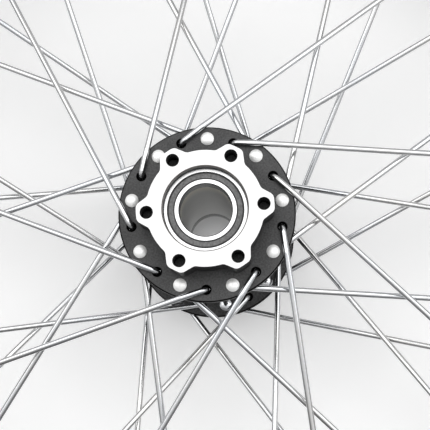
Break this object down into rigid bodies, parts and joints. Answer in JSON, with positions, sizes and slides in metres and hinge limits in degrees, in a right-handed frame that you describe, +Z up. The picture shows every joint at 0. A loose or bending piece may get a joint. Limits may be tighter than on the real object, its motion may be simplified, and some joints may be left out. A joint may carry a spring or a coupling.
{
  "type": "spoked bicycle wheel with a disc brake hub",
  "caption": "Small bare spoked bicycle wheel: black flanged hub for a through axle and a bolted brake disc, crossed polished spokes and a plain black rim.",
  "frame": {"origin": "the wheel's centre: on the axle's line, in the middle plane of the rim", "axes": "+Y along the axle, away from the brake disc side; the disc mount faces -Y; +Z up, through the valve hole"},
  "size_m": [0.3605, 0.082, 0.3606],
  "materials": {
    "hub_black": "fine satin black anodising, disc face machined bright",
    "rim_black": "satin black anodising",
    "sleeve_alloy": "turned",
    "bearing_steel": "ground",
    "seal_rubber": "matte grey, bare of lettering",
    "cage_nylon": "moulded",
    "spoke_steel": "polished stainless steel",
    "nipple_plating": "bright plating"
  },
  "bodies": {
    "axle": {"axle_sleeve": "sleeve_alloy", "left_inner_race": "bearing_steel", "right_inner_race": "bearing_steel"},
    "wheel": {"hub_shell": "hub_black", "rim": "rim_black", "left_outer_race": "bearing_steel", "right_outer_race": "bearing_steel", "left_outer_seal": "seal_rubber", "left_inner_seal": "seal_rubber", "right_outer_seal": "seal_rubber", "right_inner_seal": "seal_rubber", "left_nipples": "nipple_plating", "right_nipples": "nipple_plating", "spoke_01": "spoke_steel", "spoke_02": "spoke_steel", "spoke_03": "spoke_steel", "spoke_04": "spoke_steel", "spoke_05": "spoke_steel", "spoke_06": "spoke_steel", "spoke_07": "spoke_steel", "spoke_08": "spoke_steel", "spoke_09": "spoke_steel", "spoke_10": "spoke_steel", "spoke_11": "spoke_steel", "spoke_12": "spoke_steel", "spoke_13": "spoke_steel", "spoke_14": "spoke_steel", "spoke_15": "spoke_steel", "spoke_16": "spoke_steel", "spoke_17": "spoke_steel", "spoke_18": "spoke_steel", "spoke_19": "spoke_steel", "spoke_20": "spoke_steel", "spoke_21": "spoke_steel", "spoke_22": "spoke_steel", "spoke_23": "spoke_steel", "spoke_24": "spoke_steel", "spoke_25": "spoke_steel", "spoke_26": "spoke_steel", "spoke_27": "spoke_steel", "spoke_28": "spoke_steel", "spoke_29": "spoke_steel", "spoke_30": "spoke_steel", "spoke_31": "spoke_steel", "spoke_32": "spoke_steel", "spoke_33": "spoke_steel", "spoke_34": "spoke_steel", "spoke_35": "spoke_steel", "spoke_36": "spoke_steel"},
    "left_cage_set": {"left_cage": "cage_nylon", "left_balls": "bearing_steel"},
    "right_cage_set": {"right_cage": "cage_nylon", "right_balls": "bearing_steel"}
  },
  "joints": [
    {"name": "wheel_spin", "type": "hinge", "parent": "axle", "child": "wheel", "pos_m": [0, 0, 0], "axis": [0, 1, 0], "continuous": true},
    {"name": "left_cage_spin", "type": "hinge", "parent": "axle", "child": "left_cage_set", "pos_m": [0, -0.0318, 0], "axis": [0, 1, 0], "continuous": true},
    {"name": "right_cage_spin", "type": "hinge", "parent": "axle", "child": "right_cage_set", "pos_m": [0, 0.0348, 0], "axis": [0, 1, 0], "continuous": true}
  ],
  "couplings": [
    {"joint": "left_cage_spin", "follows": "wheel_spin", "ratio": 0.5673},
    {"joint": "right_cage_spin", "follows": "wheel_spin", "ratio": 0.5673}
  ]
}
